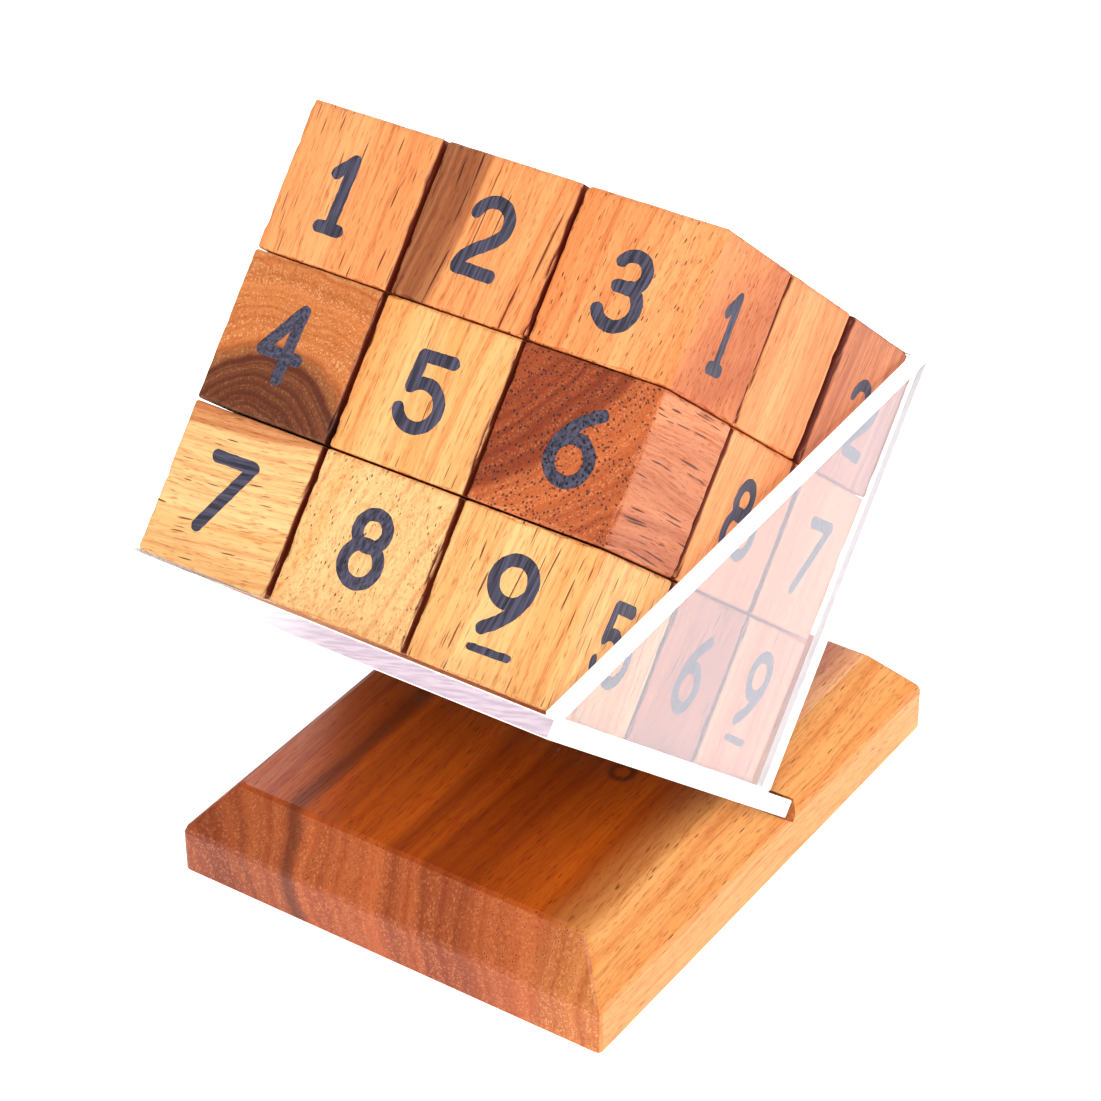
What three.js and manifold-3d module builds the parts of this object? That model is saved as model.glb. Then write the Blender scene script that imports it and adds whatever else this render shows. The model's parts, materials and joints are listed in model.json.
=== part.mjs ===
// Number-cube puzzle: twenty-seven wooden cubes in a clear tray that leans out of a wooden base.
// Lengths are in millimetres and +Z is up. The origin is the centre of the base's underside,
// +X runs along the base's end grain, and +Y runs from the tray's open front towards its back.

import * as THREE from 'three';
import { mergeVertices } from 'three/addons/utils/BufferGeometryUtils.js';
import Module from 'manifold-3d';

const wasm = await Module();
wasm.setup();

// Driving dimensions: the cubes and the room around them
const cubeEdge = 24;
const cubeArris = 0.5;
const sideGap = 0.4;
const depthGap = 0.8;
const stackGap = 0.3;

// Driving dimensions: the tray, cut from clear sheet and glued
const sheet = 3;
const glueGap = 0.3;
const wallClearance = 0.5;
const backClearance = 0.8;
const frontLip = 2;

// Driving dimensions: how the tray sits in the base
// The seat is the line where the tray floor's upper face meets the top of the base.
const trayTilt = THREE.MathUtils.degToRad(41.2);
const seatY = 1.9;
const footSetback = 3;
const slotEmbed = 6.8;
const slotRunout = 2.9;
const slotFit = 0.3;

// Driving dimensions: the base, a board with its four upper edges bevelled
const baseMargin = 0.3;
const baseDepth = 99;
const baseHeight = 16.4;
const baseSideHeight = 8.5;
const bevelInset = 6.75;
const baseArris = 0.5;
const baseCornerRadius = 0.8;

// Where the cubes stand, from left to right, from front to back and from the tray floor up
const columns = ['left', 'centre', 'right'];
const rows = ['front', 'inner', 'back'];
const levels = ['lower', 'middle', 'upper'];

// Sizes that follow from the driving dimensions
const cubePitch = new THREE.Vector3(cubeEdge + sideGap, cubeEdge + depthGap, cubeEdge + stackGap);
const blockWidth = columns.length * cubePitch.x - sideGap;
const blockDepth = rows.length * cubePitch.y - depthGap;
const wallTop = levels.length * cubePitch.z;
const trayInside = blockWidth + 2 * wallClearance;
const trayWidth = trayInside + 2 * sheet;
const backOuterY = -footSetback;
const backInnerY = backOuterY - sheet;
const blockBackY = backInnerY - backClearance;
const blockFrontY = blockBackY - blockDepth;
const baseWidth = trayWidth + 2 * baseMargin;

// Finishes
const cornerSegments = 2;
const timberColours = { golden: 0xe0ac66, orange: 0xd08a48, brown: 0x94502c };
const timberFinishes = Object.fromEntries(
  Object.entries(timberColours).map(([timber, color]) => {
    return [timber, new THREE.MeshStandardMaterial({ color, roughness: 0.6, metalness: 0 })];
  }),
);

// The timber of each cube: on each level the front, inner and back rows, and in a row from left to right
const cubeTimber = {
  lower: [['golden', 'golden', 'orange'], ['orange', 'brown', 'brown'], ['golden', 'orange', 'golden']],
  middle: [['brown', 'golden', 'brown'], ['orange', 'golden', 'orange'], ['golden', 'orange', 'golden']],
  upper: [['orange', 'orange', 'golden'], ['golden', 'brown', 'orange'], ['brown', 'golden', 'brown']],
};
const baseFinish = new THREE.MeshStandardMaterial({ color: 0xa5582a, roughness: 0.45, metalness: 0 });
const clearFinish = new THREE.MeshStandardMaterial({
  color: 0xf4f6f7,
  roughness: 0.05,
  metalness: 0,
  transparent: true,
  opacity: 0.35,
});

// A level rectangle with rounded corners, as points that run anticlockwise seen from above.
function outline(width, depth, radius, z) {
  const points = [];
  const corners = [[1, 1], [-1, 1], [-1, -1], [1, -1]];
  corners.forEach(([signX, signY], quarter) => {
    for (let step = 0; step <= cornerSegments; step += 1) {
      const angle = (quarter + step / cornerSegments) * (Math.PI / 2);
      const x = signX * (width / 2 - radius) + radius * Math.cos(angle);
      const y = signY * (depth / 2 - radius) + radius * Math.sin(angle);
      points.push(new THREE.Vector3(x, y, z));
    }
  });
  return points;
}

// A closed skin through outlines that all have the same number of points, from the lowest to the highest.
function loft(outlines) {
  const count = outlines[0].length;
  const index = [];
  for (let ring = 0; ring < outlines.length - 1; ring += 1) {
    for (let i = 0; i < count; i += 1) {
      const here = ring * count + i;
      const next = ring * count + ((i + 1) % count);
      index.push(here, next, next + count, here, next + count, here + count);
    }
  }
  const top = (outlines.length - 1) * count;
  for (let i = 1; i < count - 1; i += 1) {
    index.push(0, i + 1, i);
    index.push(top, top + i, top + i + 1);
  }
  const geometry = new THREE.BufferGeometry().setFromPoints(outlines.flat());
  geometry.setIndex(index);
  geometry.computeVertexNormals();
  return geometry;
}

// A rectangular block whose side follows a profile of [inset, height] corners from the bottom up.
// Each corner of the profile is eased by a flat that starts one arris away from it on both sides.
function profiledBlock(width, depth, radius, profile, arris) {
  const middle = Math.min(width, depth) / 2;
  const lowest = profile[0][1];
  const highest = profile.at(-1)[1];
  const path = [[middle, lowest], ...profile, [middle, highest]].map((corner) => new THREE.Vector2(...corner));
  const outlines = [];
  for (let i = 1; i < path.length - 1; i += 1) {
    for (const neighbour of [path[i - 1], path[i + 1]]) {
      const eased = neighbour.clone().sub(path[i]).setLength(arris).add(path[i]);
      outlines.push(outline(width - 2 * eased.x, depth - 2 * eased.x, radius, eased.y));
    }
  }
  return loft(outlines);
}

// A closed geometry as a solid that can be cut.
function toSolid(geometry) {
  const bare = geometry.clone();
  bare.deleteAttribute('normal');
  bare.deleteAttribute('uv');
  const merged = mergeVertices(bare);
  const vertProperties = merged.getAttribute('position').array;
  const triVerts = new Uint32Array(merged.getIndex().array);
  return new wasm.Manifold(new wasm.Mesh({ numProp: 3, vertProperties, triVerts }));
}

// The skin of a solid as a geometry with flat faces.
function toGeometry(solid) {
  const { vertProperties, triVerts } = solid.getMesh();
  const shared = new THREE.BufferGeometry();
  shared.setAttribute('position', new THREE.BufferAttribute(vertProperties, 3));
  shared.setIndex(new THREE.BufferAttribute(triVerts, 1));
  const geometry = shared.toNonIndexed();
  geometry.computeVertexNormals();
  return geometry;
}

function namedMesh(name, geometry, material) {
  const mesh = new THREE.Mesh(geometry, material);
  mesh.name = name;
  return mesh;
}

// A flat panel between two opposite corners.
function panel(name, low, high) {
  const size = high.clone().sub(low);
  const mesh = namedMesh(name, new THREE.BoxGeometry(size.x, size.y, size.z), clearFinish);
  mesh.position.copy(low).add(high).divideScalar(2);
  return mesh;
}

// An empty group in the tray's own frame: its origin is on the seat, its Y runs down the slope of the
// tray floor's upper face, and its Z stands square on that face.
function trayFrame() {
  const group = new THREE.Group();
  group.position.set(0, seatY, baseHeight);
  group.rotation.x = -trayTilt;
  return group;
}

// The base with the inclined slot that holds the tray floor, sawn right across the board.
function makeBase() {
  const profile = [[0, 0], [0, baseSideHeight], [bevelInset, baseHeight]];
  const board = profiledBlock(baseWidth, baseDepth, baseCornerRadius, profile, baseArris);
  const slotHeight = sheet + 2 * slotFit;
  const leadIn = slotHeight / Math.tan(trayTilt) + slotHeight;
  const slotLength = leadIn + slotEmbed + slotRunout;
  const overrun = 2 * baseWidth;
  const slot = new THREE.BoxGeometry(overrun, slotLength, slotHeight);
  slot.translate(0, slotLength / 2 - leadIn, -sheet / 2);
  const seat = trayFrame();
  seat.updateMatrix();
  slot.applyMatrix4(seat.matrix);
  return namedMesh('base', toGeometry(toSolid(board).subtract(toSolid(slot))), baseFinish);
}

// A side wall: a right-angled triangle of sheet that stands on the floor and butts the tray's back.
function makeSideWall(name, innerX) {
  const heel = backInnerY - glueGap;
  const triangle = new THREE.Shape();
  triangle.moveTo(blockFrontY, glueGap);
  triangle.lineTo(heel, glueGap);
  triangle.lineTo(heel, wallTop);
  triangle.closePath();
  const wall = new THREE.ExtrudeGeometry(triangle, { depth: sheet, bevelEnabled: false });
  const axes = [new THREE.Vector3(0, 1, 0), new THREE.Vector3(0, 0, 1), new THREE.Vector3(1, 0, 0)];
  wall.applyMatrix4(new THREE.Matrix4().makeBasis(...axes));
  wall.translate(innerX, 0, 0);
  return namedMesh(name, wall, clearFinish);
}

// The tray's four panels: a floor that runs on into the slot, a back, and two side walls.
function addTrayPanels(tray) {
  const half = trayWidth / 2;
  const floorLow = new THREE.Vector3(-half, blockFrontY - frontLip, -sheet);
  const floorHigh = new THREE.Vector3(half, slotEmbed, 0);
  const backLow = new THREE.Vector3(-half, backInnerY, glueGap);
  const backHigh = new THREE.Vector3(half, backOuterY, wallTop);
  tray.add(panel('tray_floor', floorLow, floorHigh));
  tray.add(panel('tray_back', backLow, backHigh));
  tray.add(makeSideWall('tray_side_left', -half));
  tray.add(makeSideWall('tray_side_right', half - sheet));
}

// The cubes, three by three by three, each in its own place in the tray.
function addCubes(tray) {
  const profile = [[0, -cubeEdge / 2], [0, cubeEdge / 2]];
  const cube = profiledBlock(cubeEdge, cubeEdge, cubeArris, profile, cubeArris);
  levels.forEach((level, k) => {
    rows.forEach((row, j) => {
      columns.forEach((column, i) => {
        const finish = timberFinishes[cubeTimber[level][j][i]];
        const mesh = namedMesh(`cube_${level}_${row}_${column}`, cube, finish);
        const x = (cubeEdge - blockWidth) / 2 + i * cubePitch.x;
        const y = blockFrontY + cubeEdge / 2 + j * cubePitch.y;
        const z = stackGap + cubeEdge / 2 + k * cubePitch.z;
        mesh.position.set(x, y, z);
        tray.add(mesh);
      });
    });
  });
}

const tray = trayFrame();
addTrayPanels(tray);
addCubes(tray);

const puzzle = new THREE.Group();
puzzle.add(makeBase(), tray);

export default puzzle;
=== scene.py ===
# %% [markdown]
# A number-cube puzzle: twenty-seven hardwood cubes stand in a clear tray, and the tray leans out of a
# wooden base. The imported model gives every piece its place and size, so this file only makes it look like
# the real thing. Blender counts in metres; a size that reads better in millimetres is multiplied by `mm`.

import json
import math
import random

import bmesh
import bpy
import numpy as np
from mathutils import Matrix, Vector


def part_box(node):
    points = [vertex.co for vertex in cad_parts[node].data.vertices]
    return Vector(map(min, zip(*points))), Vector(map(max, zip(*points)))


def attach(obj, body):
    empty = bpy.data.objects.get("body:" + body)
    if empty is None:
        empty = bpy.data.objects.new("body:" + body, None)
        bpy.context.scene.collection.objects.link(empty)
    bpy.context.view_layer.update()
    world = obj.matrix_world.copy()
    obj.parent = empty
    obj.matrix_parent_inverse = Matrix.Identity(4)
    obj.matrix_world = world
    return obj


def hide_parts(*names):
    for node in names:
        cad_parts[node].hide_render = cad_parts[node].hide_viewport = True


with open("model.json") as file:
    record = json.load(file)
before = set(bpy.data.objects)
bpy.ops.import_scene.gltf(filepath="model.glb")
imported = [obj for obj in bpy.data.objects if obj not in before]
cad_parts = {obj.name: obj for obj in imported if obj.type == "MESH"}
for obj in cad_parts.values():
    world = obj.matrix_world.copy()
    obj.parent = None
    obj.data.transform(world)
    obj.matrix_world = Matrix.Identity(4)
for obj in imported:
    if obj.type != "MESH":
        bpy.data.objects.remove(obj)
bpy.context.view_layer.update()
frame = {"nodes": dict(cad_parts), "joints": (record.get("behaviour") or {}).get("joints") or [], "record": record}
mm = 0.001
slot_of = {part["node"]: part["material_slot"] for part in frame["record"]["subparts"]}


def linear(hex_colour):
    """A colour such as "#ffcb8a" as the linear RGBA that Blender's sockets take."""
    channels = [int(hex_colour[i:i + 2], 16) / 255 for i in (1, 3, 5)]
    return [c / 12.92 if c <= 0.04045 else ((c + 0.055) / 1.055) ** 2.4 for c in channels] + [1.0]


def add(tree, kind, inputs=(), **settings):
    """Adds a node, or takes the one that the tree already has under that name, and sets it up.

    The inputs come in order or by name. A number or colour is set, an output is linked, and a node given as
    a value is linked from the first of its outputs that is in use.
    """
    node = tree.nodes.get(kind) or tree.nodes.new(kind)
    for name, value in settings.items():
        setattr(node, name, value)
    for key, value in inputs.items() if isinstance(inputs, dict) else enumerate(inputs):
        if isinstance(value, bpy.types.Node):
            value = next(socket for socket in value.outputs if socket.enabled)
        if isinstance(value, bpy.types.NodeSocket):
            tree.links.new(value, node.inputs[key])
        else:
            node.inputs[key].default_value = value
    return node


def new_tree(name, kind, inputs, outputs):
    """An empty node tree whose inputs and outputs are given as name and kind of value."""
    tree = bpy.data.node_groups.new(name, kind)
    for direction, sockets in (("INPUT", inputs), ("OUTPUT", outputs)):
        for socket_name, value_kind in sockets.items():
            tree.interface.new_socket(socket_name, in_out=direction, socket_type="NodeSocket" + value_kind)
    return tree


def new_finish(name):
    """A material with Blender's standard shader, and its node tree."""
    material = bpy.data.materials.new(name)
    material.use_nodes = True
    return material, material.node_tree


def put_in_scene(name, mesh, body):
    """A mesh as a piece of the object that moves with one CAD body."""
    piece = bpy.data.objects.new(name, mesh)
    bpy.context.collection.objects.link(piece)
    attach(piece, body)
    return piece


# Settings that many nodes share. A Mix node keeps a pair of inputs for each kind of value; 6 and 7 are its
# colours.
smooth_step = {"interpolation_type": "SMOOTHSTEP"}
mix_colours = {"data_type": "RGBA"}
multiply_colours = {"data_type": "RGBA", "blend_type": "MULTIPLY"}

# %% [markdown]
# The tray leans, so nothing on it lines up with Blender's own axes. It is easiest to work in the tray's
# axes and to turn finished meshes into place: `across` runs along the base, `down` follows the tray floor
# to its back, and `lift` stands square on the floor. The cubes lift out along `lift`, so the joints of the
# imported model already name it.

# %% The tray's axes
across = Vector((1, 0, 0))
lift = Vector(frame["joints"][0]["axis"]).normalized()
down = lift.cross(across)
tray_turn = Matrix((across, down, lift)).transposed().to_4x4()
cube_low, cube_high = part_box("cube_lower_front_left")
cube_edge = cube_high.x - cube_low.x
lost_to_sanding = 0.1 * mm
sanded_edge = cube_edge - lost_to_sanding
tray_tilt = math.degrees(math.acos(lift.z))
print("tray tilt in degrees:", round(tray_tilt, 2), "cube in mm:", round(cube_edge / mm, 2))

# %% [markdown]
# The picture was taken with a long lens from the front right, well above the table, so parallel edges stay
# almost parallel. A camera can be aimed at a target, but here its place, its angles and its slight roll
# were worked out from corners of the puzzle whose place in the picture is known, and are simply set.

# %% Camera
camera_data = bpy.data.cameras.new("camera")
camera_data.sensor_width = 36
camera_data.lens = 116.954
camera_data.clip_start = 0.01
camera = bpy.data.objects.new("camera", camera_data)
bpy.context.collection.objects.link(camera)
camera_place = Vector((262.69, -386.43, 369.88)) * mm
azimuth = math.radians(34.3895)
elevation = math.radians(34.4291)
roll = math.radians(-0.5778)
backward = Vector((
    math.sin(azimuth) * math.cos(elevation),
    -math.cos(azimuth) * math.cos(elevation),
    math.sin(elevation),
))
level_right = Vector((0, 0, 1)).cross(backward).normalized()
level_up = backward.cross(level_right)
camera_right = math.cos(roll) * level_right + math.sin(roll) * level_up
camera_up = backward.cross(camera_right)
camera_turn = Matrix((camera_right, camera_up, backward)).transposed().to_4x4()
camera.matrix_world = Matrix.Translation(camera_place) @ camera_turn
bpy.context.scene.camera = camera
print("camera at", [round(v / mm, 1) for v in camera.location], "mm")

# %% [markdown]
# The puzzle stands on a white sheet that is so bright that the picture shows no edge of it. A plane with a
# white surface would turn grey away from the lamps, so the paper also gives light of its own, as an
# overexposed sheet seems to do. The world around adds an even white light.

# %% Floor and world
scene = bpy.context.scene
scene.view_settings.view_transform = "Standard"
paper_reach = 3.0
paper_below_base = 0.2 * mm

# White paper is matt and even: it gives the eye nothing but a soft shadow under the base.
paper, paper_tree = new_finish("white paper")
add(paper_tree, "Principled BSDF", {
    "Base Color": linear("#f4f4f4"), "Roughness": 1.0,
    "Emission Color": linear("#ffffff"), "Emission Strength": 0.9,
})
floor_mesh = bpy.data.meshes.new("floor")
floor_corners = [(x * paper_reach, y * paper_reach, 0) for x, y in ((-1, -1), (1, -1), (1, 1), (-1, 1))]
floor_mesh.from_pydata(floor_corners, [], [(0, 1, 2, 3)])
floor_mesh.materials.append(paper)
floor = bpy.data.objects.new("floor", floor_mesh)
floor.location.z = -paper_below_base
bpy.context.collection.objects.link(floor)

world = bpy.data.worlds.new("studio")
world.use_nodes = True
scene.world = world
add(world.node_tree, "Background", {"Color": linear("#ffffff"), "Strength": 0.36})
print("floor reaches", paper_reach, "m each way")

# %% [markdown]
# Two soft boxes light the wood: one at the front right, so that the faces differ, and one behind on the
# left, which gives the oiled base its gloss. Two more lamps reach only the clear sheet, by light linking.
# One lies on the floor behind the tray and is the pale glare in the side wall. The other hangs above and
# stands for the light that such a sheet gathers in its faces and lets out at its edges, which a path
# tracer finds only with very many samples.

# %% Lamps
def soft_box(name, place, aim, width, height, power):
    """A rectangular lamp that looks at a point."""
    lamp_data = bpy.data.lights.new(name, "AREA")
    lamp_data.shape = "RECTANGLE"
    lamp_data.size = width
    lamp_data.size_y = height
    lamp_data.energy = power
    lamp = bpy.data.objects.new(name, lamp_data)
    lamp.location = place
    lamp.rotation_euler = (Vector(aim) - Vector(place)).to_track_quat("-Z", "Y").to_euler()
    bpy.context.collection.objects.link(lamp)
    return lamp


soft_box("key", place=(0.5, -0.8, 0.9), aim=(0, 0, 0.06), width=0.6, height=0.6, power=12)
soft_box("backdrop", place=(-0.6, 0.9, 0.75), aim=(0, 0, 0.03), width=1.0, height=0.8, power=10)
sheen = soft_box("sheen", place=(0.3, 0.2, 0.001), aim=(0.3, 0.2, 1.0), width=0.5, height=0.6, power=0.7)
sheen.data.color = linear("#d9d6f4")[:3]
sheen.visible_camera = False
edge_light = soft_box("edge light", place=(0.1, -0.2, 1.2), aim=(0, 0, 0.06), width=0.6, height=0.6, power=12)
clear_pieces = bpy.data.collections.new("clear pieces")
for lamp in (sheen, edge_light):
    lamp.light_linking.receiver_collection = clear_pieces

# %% [markdown]
# Wood is a solid pattern, not a skin: a face shows arches, stripes or dots by how it cuts the log.
# Painting each face would break that at every arris. So each point of a piece gets a place in the log it
# was sawn from, in millimetres, with Z along the grain and the pith at X = Y = 0, and one node group works
# out the colour from that place. It begins with the growth rings. No log is quite straight: its rings
# wander by some millimetres over centimetres and ripple finely, so the place is bent by two noises before
# its distance from the pith is taken.

# %% Timber: the bent log and its rings
timber = new_tree("timber", "ShaderNodeTree", inputs={
    "Place": "Vector", "Pale": "Color", "Deep": "Color", "Heart tint": "Color",
    "Heart radius": "Float", "Ring width": "Float", "Pores": "Float", "Pore length": "Float",
    "End grain": "Float", "Heart shade": "Float", "Cells per mm": "Float",
}, outputs={"Color": "Color", "Pore": "Float", "Fibre": "Float"})
given = add(timber, "NodeGroupInput").outputs

bent = given["Place"]
for wave_mm, sway_mm in ((28, 11), (3.5, 0.9)):
    pitch = (1 / wave_mm, 1 / wave_mm, 0.25 / wave_mm)
    drift = add(timber, "ShaderNodeVectorMath", (given["Place"], pitch), operation="MULTIPLY")
    noise = add(timber, "ShaderNodeTexNoise", {"Vector": drift, "Scale": 1, "Detail": 2}).outputs["Color"]
    centred = add(timber, "ShaderNodeVectorMath", (noise, (0.5, 0.5, 0.5)), operation="SUBTRACT")
    sway = add(timber, "ShaderNodeVectorMath", (centred, (sway_mm, sway_mm, 0)), operation="MULTIPLY")
    bent = add(timber, "ShaderNodeVectorMath", (bent, sway), operation="ADD")
across_log = add(timber, "ShaderNodeVectorMath", (bent, (1, 1, 0)), operation="MULTIPLY")
radius = add(timber, "ShaderNodeVectorMath", (across_log,), operation="LENGTH")
ring = add(timber, "ShaderNodeMath", (radius, given["Ring width"]), operation="DIVIDE")
bands = add(timber, "ShaderNodeTexNoise", {
    "W": ring, "Scale": 1, "Detail": 3, "Roughness": 0.6,
}, noise_dimensions="1D")
lines = add(timber, "ShaderNodeTexNoise", {
    "W": ring, "Scale": 6, "Detail": 2, "Roughness": 0.6,
}, noise_dimensions="1D")
print("rings:", len(timber.nodes), "nodes")

# %% [markdown]
# Along the grain run fibres, short dark flecks and pores. All three are noises or cells that are fine
# across the log and drawn out along it, so they need no direction of their own: a face along the grain
# shows dashes, and end grain shows dots. A pore is dark in its middle. Hardwood of this kind also has pale
# cells round its pores, which show only on end grain. Pores of a tenth of a millimetre would vanish in the
# picture, so they are drawn somewhat too wide.

# %% Timber: fibres and pores
# Each triple is how often a pattern repeats in a millimetre: twice across the grain, then along it.
fibre_pitch = (2.0, 2.0, 0.07)
fleck_pitch = (4.5, 4.5, 0.4)
crowd_pitch = (0.22, 0.22, 0.03)
fibre_place = add(timber, "ShaderNodeVectorMath", (bent, fibre_pitch), operation="MULTIPLY")
fibre = add(timber, "ShaderNodeTexNoise", {
    "Vector": fibre_place, "Scale": 1, "Detail": 4, "Roughness": 0.65,
})
fleck_place = add(timber, "ShaderNodeVectorMath", (bent, fleck_pitch), operation="MULTIPLY")
flecks = add(timber, "ShaderNodeTexNoise", {
    "Vector": fleck_place, "Scale": 1, "Detail": 2, "Roughness": 0.55,
})

pores_per_mm = 1.4
pore_pitch = add(timber, "ShaderNodeMath", (1.0, given["Pore length"]), operation="DIVIDE")
pore_stretch = add(timber, "ShaderNodeCombineXYZ", (pores_per_mm, pores_per_mm, pore_pitch))
pore_place = add(timber, "ShaderNodeVectorMath", (bent, pore_stretch), operation="MULTIPLY")
vessel = add(timber, "ShaderNodeTexVoronoi", {"Vector": pore_place, "Scale": 1}, feature="F1")
crowd_place = add(timber, "ShaderNodeVectorMath", (bent, crowd_pitch), operation="MULTIPLY")
crowd = add(timber, "ShaderNodeTexNoise", {"Vector": crowd_place, "Scale": 1, "Detail": 1})
crowding = add(timber, "ShaderNodeMath", (crowd, given["Pores"]), operation="ADD")
presence = add(timber, "ShaderNodeMapRange", (crowding, 0.74, 1.08), **smooth_step)
pore_size = add(timber, "ShaderNodeMath", (given["Pores"], 0.18, 0.07), operation="MULTIPLY_ADD")
wider_on_end = add(timber, "ShaderNodeMapRange", (given["End grain"], 0.0, 1.0, 1.0, 1.35), **smooth_step)
cut_size = add(timber, "ShaderNodeMath", (pore_size, wider_on_end), operation="MULTIPLY")
in_pore = add(timber, "ShaderNodeMath", (vessel, cut_size), operation="DIVIDE")
hollow = add(timber, "ShaderNodeMapRange", (in_pore, 0.6, 1.0, 1.0, 0.0), **smooth_step)
core = add(timber, "ShaderNodeMath", (hollow, presence), operation="MULTIPLY")

cell_pitch = add(timber, "ShaderNodeCombineXYZ", (given["Cells per mm"], given["Cells per mm"], 0.1))
cell_place = add(timber, "ShaderNodeVectorMath", (bent, cell_pitch), operation="MULTIPLY")
cells = add(timber, "ShaderNodeTexVoronoi", {"Vector": cell_place, "Scale": 1}, feature="F1")
cell_middle = add(timber, "ShaderNodeMapRange", (cells, 0.16, 0.50, 1.0, 0.0), **smooth_step)
sleeve = add(timber, "ShaderNodeMath", (cell_middle, given["End grain"]), operation="MULTIPLY")
print("fibres and pores:", len(timber.nodes), "nodes so far")

# %% [markdown]
# The heartwood in the middle of the log is darker, and darkest in a narrow line where it ends. Its radius
# is measured along the same bent rings, so the dark part of a cube has the curved or straight border that
# the rings have there.

# %% Timber: the heart
from_heart = add(timber, "ShaderNodeMath", (radius, given["Heart radius"]), operation="SUBTRACT")
within = add(timber, "ShaderNodeMapRange", (from_heart, -1.5, 1.5, 1.0, 0.0), **smooth_step)
inside = add(timber, "ShaderNodeMath", (within, given["Heart shade"]), operation="MULTIPLY")
border_rise = add(timber, "ShaderNodeMapRange", (from_heart, -4.5, -0.5), **smooth_step)
border_fall = add(timber, "ShaderNodeMapRange", (from_heart, 0.0, 1.8, 1.0, 0.0), **smooth_step)
border = add(timber, "ShaderNodeMath", (border_rise, border_fall), operation="MULTIPLY")
border_shade = add(timber, "ShaderNodeMath", (border, 0.6), operation="MULTIPLY")
heart = add(timber, "ShaderNodeMath", (inside, border_shade), operation="MAXIMUM")
heart_lines = add(timber, "ShaderNodeMapRange", (lines, 0.36, 0.60, 0.88, 1.03), **smooth_step)
streaky_heart = add(timber, "ShaderNodeMath", (heart, heart_lines), operation="MULTIPLY")
print("heart:", len(timber.nodes), "nodes so far")

# %% [markdown]
# The colour is built from the ground up, as the layers lie in the wood: broad bands between the log's pale
# and deep tone, then ring lines, fibres and flecks that darken it, then what shows only on end grain, then
# the heart, and the pores last. Stain and shadow in wood take light away, so these layers multiply the one
# below. Only the bands and the pale cells are mixed in.

# %% Timber: the colour
band_share = add(timber, "ShaderNodeMapRange", (bands, 0.25, 0.78), **smooth_step)
colour = add(timber, "ShaderNodeMix", {0: band_share, 6: given["Pale"], 7: given["Deep"]}, **mix_colours)
for pattern, low, high, most, tint in (
    (lines, 0.50, 0.78, 0.40, "#d8a37c"),
    (fibre, 0.44, 0.72, 0.6, "#d9a682"),
    (flecks, 0.54, 0.72, 0.7, "#c48a64"),
):
    share = add(timber, "ShaderNodeMapRange", (pattern, low, high, 0.0, most), **smooth_step)
    colour = add(timber, "ShaderNodeMix", {0: share, 6: colour, 7: linear(tint)}, **multiply_colours)
end_tint = linear("#e4c09a")
colour = add(timber, "ShaderNodeMix", {0: given["End grain"], 6: colour, 7: end_tint}, **multiply_colours)

spot_share = add(timber, "ShaderNodeMapRange", (lines, 0.42, 0.56, 0.66, 0.06), **smooth_step)
spots = add(timber, "ShaderNodeMath", (sleeve, spot_share), operation="MULTIPLY")
round_pore = add(timber, "ShaderNodeMapRange", (vessel, 0.24, 0.42, 0.5, 0.0), **smooth_step)
end_presence = add(timber, "ShaderNodeMath", (presence, given["End grain"]), operation="MULTIPLY")
halo = add(timber, "ShaderNodeMath", (round_pore, end_presence), operation="MULTIPLY")
pale_cells = add(timber, "ShaderNodeMath", (spots, halo), operation="MAXIMUM")
colour = add(timber, "ShaderNodeMix", {0: pale_cells, 6: colour, 7: given["Pale"]}, **mix_colours)
heart_tint = given["Heart tint"]
colour = add(timber, "ShaderNodeMix", {0: streaky_heart, 6: colour, 7: heart_tint}, **multiply_colours)
pore_share = add(timber, "ShaderNodeMath", (core, 0.88), operation="MULTIPLY")
colour = add(timber, "ShaderNodeMix", {0: pore_share, 6: colour, 7: linear("#6a3826")}, **multiply_colours)
add(timber, "NodeGroupOutput", {"Color": colour, "Pore": core, "Fibre": fibre})
print("timber pattern:", len(timber.nodes), "nodes")

# %% [markdown]
# The cubes are sanded hardwood without a finish. One material for each cube would repeat the same nodes
# twenty-seven times. Instead a cube's mesh carries its place in the log and its tones as attributes, and
# one wood reads them. The pores are sunk by a bump, because they are too many and too fine to model.

# %% Sanded wood
log_colours = {"Pale": "log_pale", "Deep": "log_deep", "Heart tint": "log_tint"}
log_measures = {
    "log_figure": ("Heart radius", "Ring width", "Pores"),
    "log_cut": ("Pore length", "End grain", "Heart shade"),
}
cube_cells_per_mm = 2.3


def timber_from_attributes(tree):
    """The timber pattern of whichever cube the surface belongs to."""
    place = add(tree, "ShaderNodeAttribute", attribute_name="log_place")
    inputs = {"Place": place.outputs["Vector"], "Cells per mm": cube_cells_per_mm}
    for socket, attribute in log_colours.items():
        inputs[socket] = add(tree, "ShaderNodeAttribute", attribute_name=attribute).outputs["Color"]
    for attribute, sockets in log_measures.items():
        measures = add(tree, "ShaderNodeAttribute", attribute_name=attribute).outputs["Vector"]
        inputs.update(zip(sockets, add(tree, "ShaderNodeSeparateXYZ", (measures,)).outputs))
    return add(tree, "ShaderNodeGroup", inputs, node_tree=timber).outputs


def finish_wood(tree, grain, colour, roughness, pore_depth):
    """Colours the surface, sinks the pores a little, and lets the sheen follow the fibres."""
    relief = add(tree, "ShaderNodeMath", (grain["Pore"], -1.0, grain["Fibre"]), operation="MULTIPLY_ADD")
    bump = add(tree, "ShaderNodeBump", {"Height": relief, "Strength": 0.6, "Distance": pore_depth})
    smoothest, roughest = roughness - 0.06, roughness + 0.1
    gloss = add(tree, "ShaderNodeMapRange", (grain["Fibre"], 0.3, 0.7, smoothest, roughest), **smooth_step)
    add(tree, "Principled BSDF", {
        "Base Color": colour, "Roughness": gloss, "Normal": bump, "Specular IOR Level": 0.3,
    })


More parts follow.
